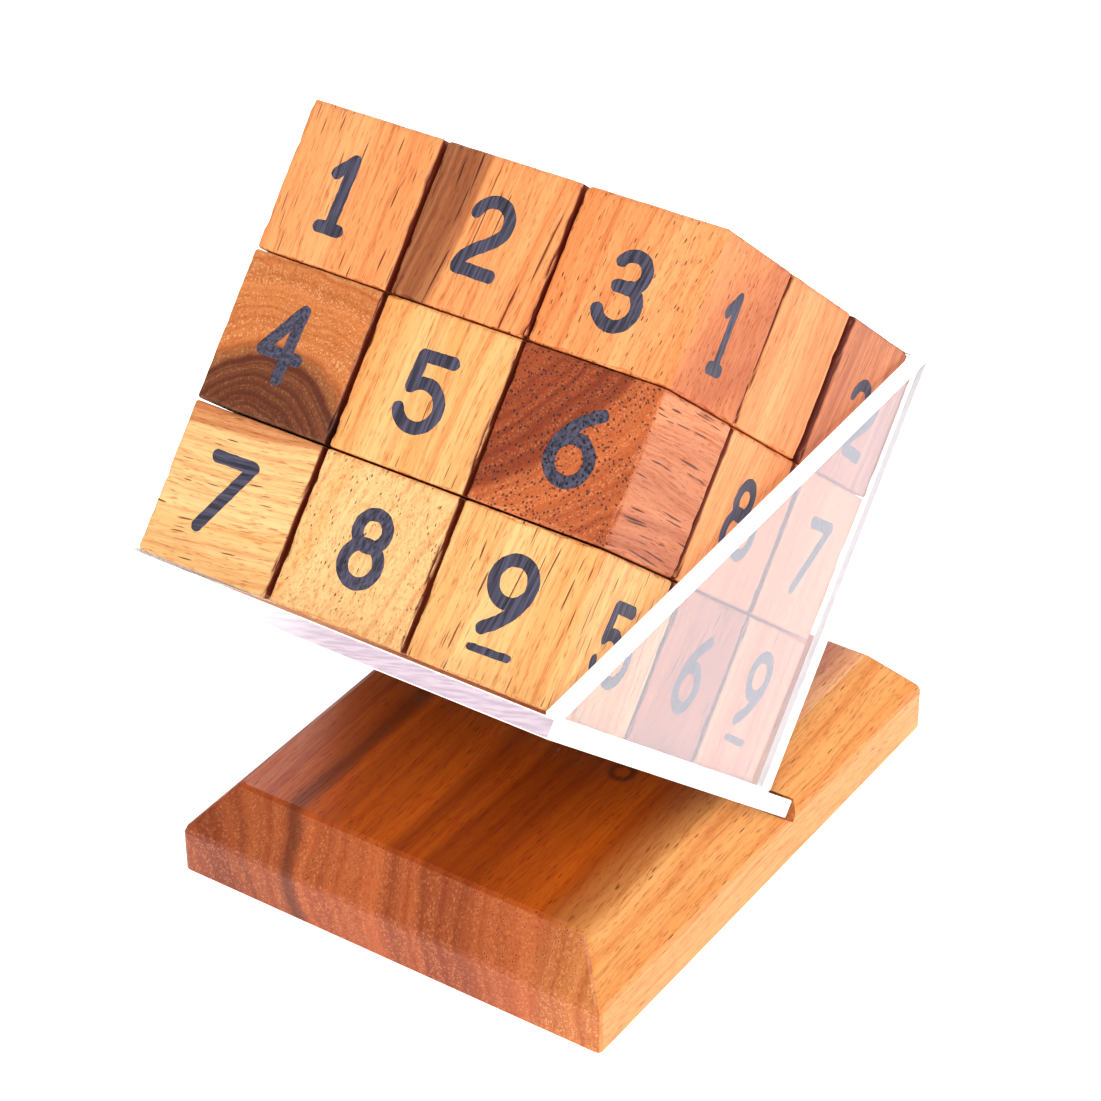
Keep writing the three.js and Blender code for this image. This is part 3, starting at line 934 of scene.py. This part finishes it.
# %% Which number is on which face
columns = ("left", "centre", "right")
rows = ("front", "inner", "back")
levels = ("lower", "middle", "upper")
prints_of_each_digit = 6
prints_on_each_cube = 2
face_axes = {
    "front": (across, lift, -down), "right": (down, lift, across), "back": (-across, lift, down),
    "left": (-down, lift, -across), "top": (across, down, lift), "bottom": (across, -down, -lift),
}
front_numbers = {"upper": (1, 2, 3), "middle": (4, 5, 6), "lower": (7, 8, 9)}
right_numbers = {"upper": (1, None, 2), "middle": (None, 8, 7), "lower": (5, 6, 9)}
off_centre_mm = {
    ("upper_front_left", "front"): (-1.5, -0.6), ("upper_front_centre", "front"): (-0.2, 0.1),
    ("upper_front_right", "front"): (-0.2, -1.0), ("middle_front_left", "front"): (-1.0, 0.0),
    ("middle_front_centre", "front"): (0.0, 0.0), ("middle_front_right", "front"): (1.5, 0.1),
    ("lower_front_left", "front"): (-1.2, -0.1), ("lower_front_centre", "front"): (0.3, 0.2),
    ("lower_front_right", "front"): (0.3, 1.1), ("upper_front_right", "right"): (-1.1, -1.0),
    ("upper_back_right", "right"): (0.5, -1.6),
}
numbers = {f"{level}_{row}_{column}": {} for level in levels for row in rows for column in columns}
for level in levels:
    for column, digit in zip(columns, front_numbers[level]):
        numbers[f"{level}_front_{column}"]["front"] = digit
    for row, digit in zip(rows, right_numbers[level]):
        numbers[f"{level}_{row}_right"]["right"] = digit

deal = random.Random(9)
used = [digit for faces in numbers.values() for digit in faces.values() if digit]
pool = [digit for digit in digit_strokes for _ in range(prints_of_each_digit - used.count(digit))]
deal.shuffle(pool)
for faces in numbers.values():
    blank = [face for face in face_axes if face not in faces]
    deal.shuffle(blank)
    while sum(1 for digit in faces.values() if digit) < prints_on_each_cube:
        faces[blank.pop()] = pool.pop()
printed_count = sum(1 for faces in numbers.values() for digit in faces.values() if digit)
print("numbers:", printed_count, "left over:", len(pool))

# %% [markdown]
# Now the cubes themselves. Each is grown at the origin in the tray's axes, gets its timber and its numbers
# there, and is then turned into the middle of its CAD cube. A loose cube never stands quite true, so each
# slips a hair within its gaps. Cube and numbers ride on the cube's own body and lift out together.

# %% Cubes and their numbers: the prints of one cube
room_for_underline_mm = 1.6
into_tray = tray_turn.inverted()


def print_on(place, face, digit, lot):
    """The meshes of one number, placed on a face of a cube that stands at the origin in the tray's axes."""
    turn = Matrix([into_tray @ axis for axis in face_axes[face]]).transposed().to_4x4()
    raised = room_for_underline_mm if digit == 9 else 0
    by_lot = (lot.uniform(-0.9, 0.9), lot.uniform(-0.5, 0.5) + raised)
    shift = Vector((*off_centre_mm.get((place, face), by_lot), sanded_edge / 2 / mm)) * mm
    tilt = Matrix.Rotation(math.radians(lot.uniform(-2.5, 2.5)), 4, "Z")
    meshes = [source.copy() for source in digit_meshes[digit]]
    for mesh in meshes:
        mesh.transform(turn @ Matrix.Translation(shift) @ tilt)
    return meshes


def joined_mesh(name, meshes):
    """Several meshes as one, in ink."""
    builder = bmesh.new()
    for mesh in meshes:
        builder.from_mesh(mesh)
    whole = bpy.data.meshes.new(name)
    builder.to_mesh(whole)
    builder.free()
    for polygon in whole.polygons:
        polygon.use_smooth = True
    whole.materials.append(ink)
    return whole


print("prints are joined per cube and finished in", ink.name)

# %% [markdown]
# The order of the steps matters here: the timber is written while a cube still stands at the origin, so
# that its log lies in the cube's own axes, and only then is the mesh turned into the tray. The cubes are
# `log_spacing_mm` apart along the grain in the pattern, so that no two of them repeat the same stretch of
# wood.

# %% Cubes and their numbers: all of them
arris_rounding = 0.5 * mm
nick_depth_most = 0.5 * mm
log_spacing_mm = 137.0
settling_mm = {"lower": 0.1, "middle": 0.0, "upper": -0.2}


def gaps_beside(row, column):
    """The gaps that show dark: between columns, seen from the front, and rows, seen from the right."""
    gaps = []
    if column != "right":
        gaps.append(((1, 0, 0), (0, -1, 0)))
    if row != "front":
        gaps.append(((0, -1, 0), (1, 0, 0)))
    return gaps


for order, (place, faces) in enumerate(numbers.items()):
    node = f"cube_{place}"
    level, row, column = place.split("_")
    lot = random.Random(order)
    log = described.get(place) or drawn_by_lot(lot)
    tone = tones[log.get("tone", slot_of[node])]
    slip_by_lot = (lot.uniform(-0.1, 0.1), lot.uniform(0.0, 0.25))
    slip = Vector((*log.get("slip", slip_by_lot), settling_mm[level])) * mm
    low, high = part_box(node)
    stand_here = Matrix.Translation((low + high) / 2) @ tray_turn @ Matrix.Translation(slip)
    wood_mesh = grown(
        sanded_cube, Edge=sanded_edge, Rounding=arris_rounding, Nick=nick_depth_most, Seed=float(order),
        Finish=cube_wood,
    )
    prints = [mesh for face, digit in faces.items() if digit for mesh in print_on(place, face, digit, lot)]
    ink_mesh = joined_mesh(f"numbers_{place}", prints)
    for mesh in (wood_mesh, ink_mesh):
        carry_timber(mesh, log, tone, stretch=log_spacing_mm * order, gap_faces=gaps_beside(row, column))
        mesh.transform(stand_here)
    cube = put_in_scene(f"wood_{place}", wood_mesh, node)
    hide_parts(node)
    put_in_scene(f"numbers_{place}", ink_mesh, node)
print("cubes:", len(numbers), "with", len(wood_mesh.polygons), "faces each")

# %% [markdown]
# The base is a board with four bevelled upper edges and a slot sawn across it at the slope of the tray.
# The CAD board already has all of these, so it stays and only gets its wood. Its edges are eased by narrow
# flats. Modelling them round would replace the mesh; weighting the normals by the size of the faces makes
# the flats catch the light as if they were round.

# %% Base
base = frame["nodes"]["base"]
base.data.materials.clear()
base.data.materials.append(base_wood)
soften = base.modifiers.new("soften", "WEIGHTED_NORMAL")
soften.keep_sharp = False
print("base:", len(base.data.polygons), "faces")

# %% [markdown]
# The four panels of the tray are cut from one sheet, and their sharp edges are broken with a scraper,
# which leaves a narrow bright line. A Bevel modifier could do that, but the faces also need three
# materials by the way they look, so each panel is a merged copy of its CAD mesh, bevelled in code: the two
# large faces are polished, the floor's front edge is sawn, and the other edges are rubbed.

# %% Tray panels
panel_normals = {"tray_floor": lift, "tray_back": down, "tray_side_left": across, "tray_side_right": across}
broken_edge = 0.15 * mm
same_point = 0.001 * mm
faces_that_way = 0.98
polished_index, sawn_index, rubbed_index = range(3)
for node, thin_way in panel_normals.items():
    builder = bmesh.new()
    builder.from_mesh(frame["nodes"][node].data)
    builder.transform(frame["nodes"][node].matrix_world)
    bmesh.ops.remove_doubles(builder, verts=builder.verts, dist=same_point)
    bmesh.ops.dissolve_limit(builder, angle_limit=math.radians(1), verts=builder.verts, edges=builder.edges)
    bmesh.ops.bevel(builder, geom=builder.edges, offset=broken_edge, segments=1, affect="EDGES", profile=0.5)
    for polygon in builder.faces:
        polygon.material_index = rubbed_index
        if node == "tray_floor" and polygon.normal.dot(down) < -faces_that_way:
            polygon.material_index = sawn_index
        if abs(polygon.normal.dot(thin_way)) > faces_that_way:
            polygon.material_index = polished_index
    sheet_mesh = bpy.data.meshes.new(node + "_sheet")
    builder.to_mesh(sheet_mesh)
    builder.free()
    for material in (clear, sawn, rubbed):
        sheet_mesh.materials.append(material)
    panel = put_in_scene(node + "_sheet", sheet_mesh, "stand")
    clear_pieces.objects.link(panel)
    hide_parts(node)
print("panels:", list(panel_normals))

# %% [markdown]
# The panels are glued with solvent cement, which creeps out of the joints a little and dries milky. A
# plain strip in the gap would look cut. Each bead follows one rule, so a tree grows it: a fine strip whose
# borders wander by a noise, with its length, width and thickness measured on the CAD panels.

# %% Cement bead
bubble_size = 0.8 * mm

# Set cement is milky and uneven, neither clear nor opaque. Its bubbles are drawn larger than they are, to
# show.
cement, cement_tree = new_finish("set cement")
bubbles = add(cement_tree, "ShaderNodeTexNoise", {
    "Vector": add(cement_tree, "ShaderNodeTexCoord").outputs["Object"], "Scale": 1 / bubble_size, "Detail": 2,
})
add(cement_tree, "Principled BSDF", {
    "Base Color": linear("#ffffff"), "Transmission Weight": 0.15,
    "Roughness": add(cement_tree, "ShaderNodeMapRange", (bubbles, 0.3, 0.7, 0.2, 0.5), **smooth_step),
})

bead = new_tree("cement bead", "GeometryNodeTree", inputs={
    "Length": "Float", "Width": "Float", "Thickness": "Float", "Creep": "Float", "Seed": "Float",
    "Finish": "Material",
}, outputs={"Geometry": "Geometry"})
given = add(bead, "NodeGroupInput").outputs
flow_size = 2.2 * mm
strip = add(bead, "GeometryNodeMeshCube", ((1, 1, 1), 160, 5, 2))
spot = add(bead, "GeometryNodeInputPosition")
full = add(bead, "ShaderNodeCombineXYZ", (given["Length"], given["Width"], given["Thickness"]))
stretched = add(bead, "ShaderNodeVectorMath", (spot, full), operation="MULTIPLY")
flat_spot = add(bead, "ShaderNodeVectorMath", (stretched, (1, 1, 0)), operation="MULTIPLY")
flow = add(bead, "ShaderNodeTexNoise", {
    "Vector": flat_spot, "W": given["Seed"], "Scale": 1 / flow_size, "Detail": 3,
}, noise_dimensions="4D")
uneven = add(bead, "ShaderNodeMath", (flow, 0.5), operation="SUBTRACT")
spread = add(bead, "ShaderNodeMath", (uneven, given["Creep"]), operation="MULTIPLY")
from_middle = add(bead, "ShaderNodeSeparateXYZ", (spot,)).outputs["Y"]
to_border = add(bead, "ShaderNodeMath", (from_middle, 4.0), operation="MULTIPLY")
sideways = add(bead, "ShaderNodeMath", (spread, to_border), operation="MULTIPLY")
creep = add(bead, "ShaderNodeCombineXYZ", {"Y": sideways})
crept = add(bead, "ShaderNodeVectorMath", (stretched, creep), operation="ADD")
flowed = add(bead, "GeometryNodeSetPosition", {"Geometry": strip, "Position": crept})
plain = add(bead, "GeometryNodeRealizeInstances", {"Geometry": flowed})
milky = add(bead, "GeometryNodeSetMaterial", {"Geometry": plain, "Material": given["Finish"]})
add(bead, "NodeGroupOutput", {"Geometry": milky})
print("cement bead:", len(bead.nodes), "nodes")

# %% [markdown]
# Five joints hold the tray together: each side wall on the floor and against the back, and the back on the
# floor. A bead fills the gap between two panels, so its corners are read off the panels on both sides of
# the gap, in the tray's axes, where every gap is a flat box.

# %% Cement in the joints
side_axis, depth_axis, height_axis = range(3)
short_of_ends = 0.4 * mm
short_of_width = 0.1 * mm
short_of_panels = 0.04 * mm
creep_most = 0.6 * mm


def tray_extent(node):
    """The lowest and highest corner of a CAD panel along the tray's own axes."""
    panel_object = frame["nodes"][node]
    to_tray = into_tray @ panel_object.matrix_world
    corners = np.array([to_tray @ vertex.co for vertex in panel_object.data.vertices])
    return corners.min(axis=0), corners.max(axis=0)


def glue(name, low, high, thin_axis, seed):
    """A bead that fills the gap between two corners, given in the tray's axes, and creeps past it."""
    size = np.array(high) - np.array(low)
    long_axis = int(np.argmax(size))
    wide_axis = side_axis + depth_axis + height_axis - thin_axis - long_axis
    axes = [Vector([float(axis == wanted) for axis in range(3)]) for wanted in (long_axis, wide_axis)]
    turn = Matrix((*axes, axes[0].cross(axes[1]))).transposed().to_4x4()
    mesh = grown(
        bead, Length=float(size[long_axis]) - short_of_ends, Width=float(size[wide_axis]) - short_of_width,
        Thickness=float(size[thin_axis]) - short_of_panels, Creep=creep_most, Seed=seed, Finish=cement,
    )
    middle = Vector((np.array(low) + np.array(high)) / 2)
    mesh.transform(tray_turn @ Matrix.Translation(middle) @ turn)
    clear_pieces.objects.link(put_in_scene(name, mesh, "stand"))


floor_top = tray_extent("tray_floor")[1][height_axis]
back_low, back_high = tray_extent("tray_back")
for seed, side_name in enumerate(("left", "right")):
    wall_low, wall_high = tray_extent(f"tray_side_{side_name}")
    under_wall = ((wall_low[0], wall_low[1], floor_top), (wall_high[0], wall_high[1], wall_low[2]))
    behind_wall = ((wall_low[0], wall_high[1], wall_low[2]), (wall_high[0], back_low[1], wall_high[2]))
    glue(f"cement_{side_name}_floor", *under_wall, height_axis, seed + 1.0)
    glue(f"cement_{side_name}_back", *behind_wall, depth_axis, seed + 5.0)
under_back = ((back_low[0], back_low[1], floor_top), (back_high[0], back_high[1], back_low[2]))
glue("cement_back_floor", *under_back, height_axis, 9.0)
print("cement beads: 5, gap", round(float(back_low[height_axis] - floor_top) / mm, 2), "mm")
